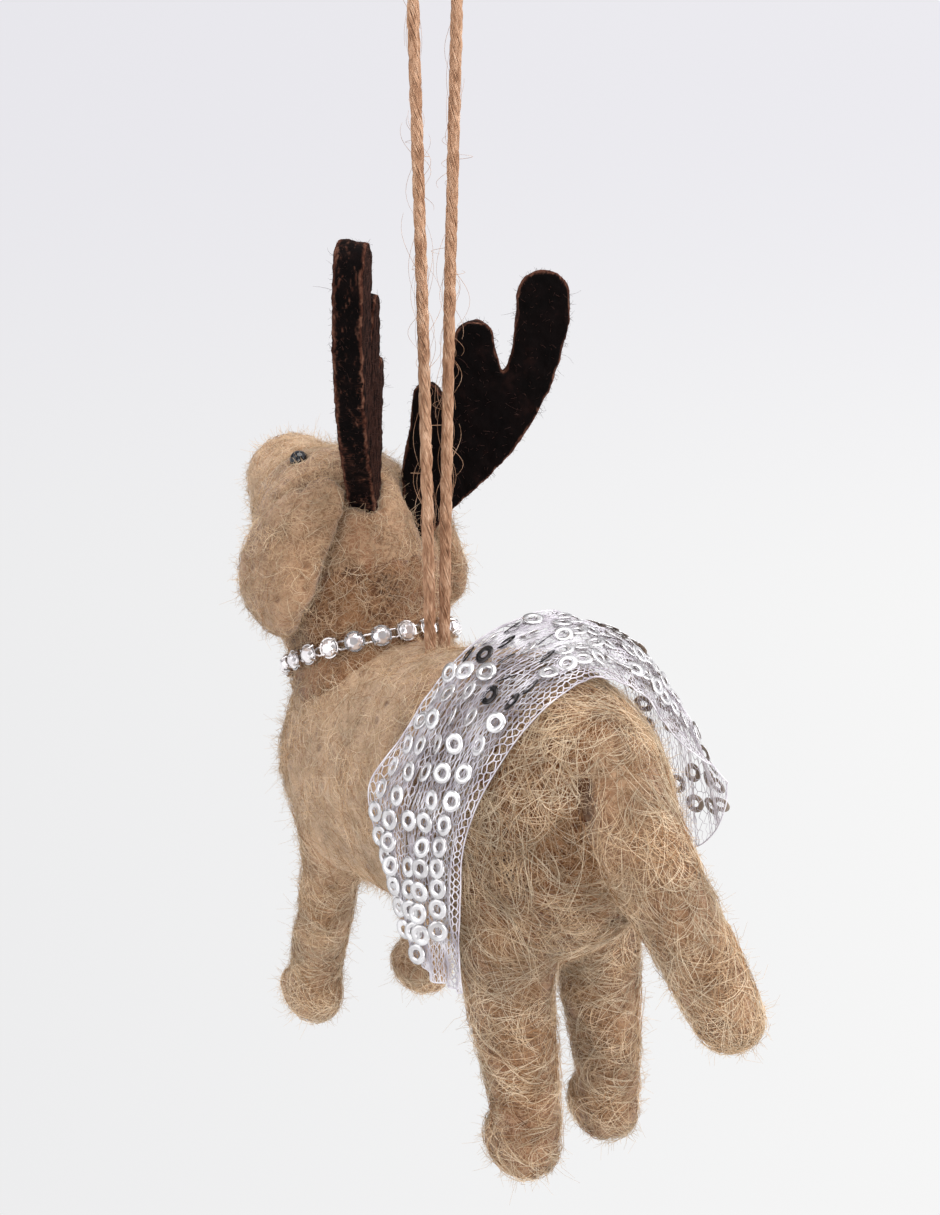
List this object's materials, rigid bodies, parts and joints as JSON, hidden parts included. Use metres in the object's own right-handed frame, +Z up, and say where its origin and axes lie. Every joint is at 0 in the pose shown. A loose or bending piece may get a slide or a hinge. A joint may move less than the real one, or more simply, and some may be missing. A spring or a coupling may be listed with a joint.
{
  "type": "felt christmas ornament",
  "caption": "Needle-felted standing dog ornament with felt antlers, a stone-set chain collar and a sequin-net skirt, hung on a twine loop.",
  "frame": {"origin": "inside top of the twine loop, where a hook or twig carries it", "axes": "+Z up, the dog faces -Y and its left side is +X"},
  "size_m": [0.0509, 0.1044, 0.1607],
  "materials": {
    "wool": "needle-felted tan wool, fuzzy",
    "dark_felt": "thick die-cut felt, dark brown with lighter cut edges",
    "nose_felt": "felted dark wool",
    "eye_bead": "glossy black bead",
    "silver": "silver-plated cups and links",
    "stones": "clear faceted glass",
    "sequin_net": "lavender-grey net set with small ring sequins",
    "twine": "two-ply jute twine, hairy"
  },
  "bodies": {
    "hanger": {"hanger_arch": "twine"},
    "strands": {"strand_left": "twine", "strand_right": "twine"},
    "dog": {"antler_left": "dark_felt", "antler_right": "dark_felt", "collar_chain": "silver", "collar_stone_01": "stones", "collar_stone_02": "stones", "collar_stone_03": "stones", "collar_stone_04": "stones", "collar_stone_05": "stones", "collar_stone_06": "stones", "collar_stone_07": "stones", "collar_stone_08": "stones", "collar_stone_09": "stones", "collar_stone_10": "stones", "collar_stone_11": "stones", "collar_stone_12": "stones", "collar_stone_13": "stones", "collar_stone_14": "stones", "collar_stone_15": "stones", "collar_stone_16": "stones", "collar_stone_17": "stones", "collar_stone_18": "stones", "collar_stone_19": "stones", "collar_stone_20": "stones", "collar_stone_21": "stones", "ear_left": "wool", "ear_right": "wool", "eye_left": "eye_bead", "eye_right": "eye_bead", "hanger_knot": "twine", "head": "wool", "leg_front_left": "wool", "leg_front_right": "wool", "leg_hind_left": "wool", "leg_hind_right": "wool", "muzzle": "wool", "neck": "wool", "nose": "nose_felt", "skirt": "sequin_net", "tail": "wool", "torso": "wool"}
  },
  "joints": [
    {"name": "swing", "type": "hinge", "parent": "hanger", "child": "strands", "pos_m": [0, 0, -0.0029], "axis": [1, 0, 0], "range_deg": [-25, 25]},
    {"name": "twist", "type": "hinge", "parent": "strands", "child": "dog", "pos_m": [0, 0, -0.0966], "axis": [0, 0, 1], "range_deg": [-180, 180], "stiffness_Nm_per_rad": 0.00001}
  ]
}
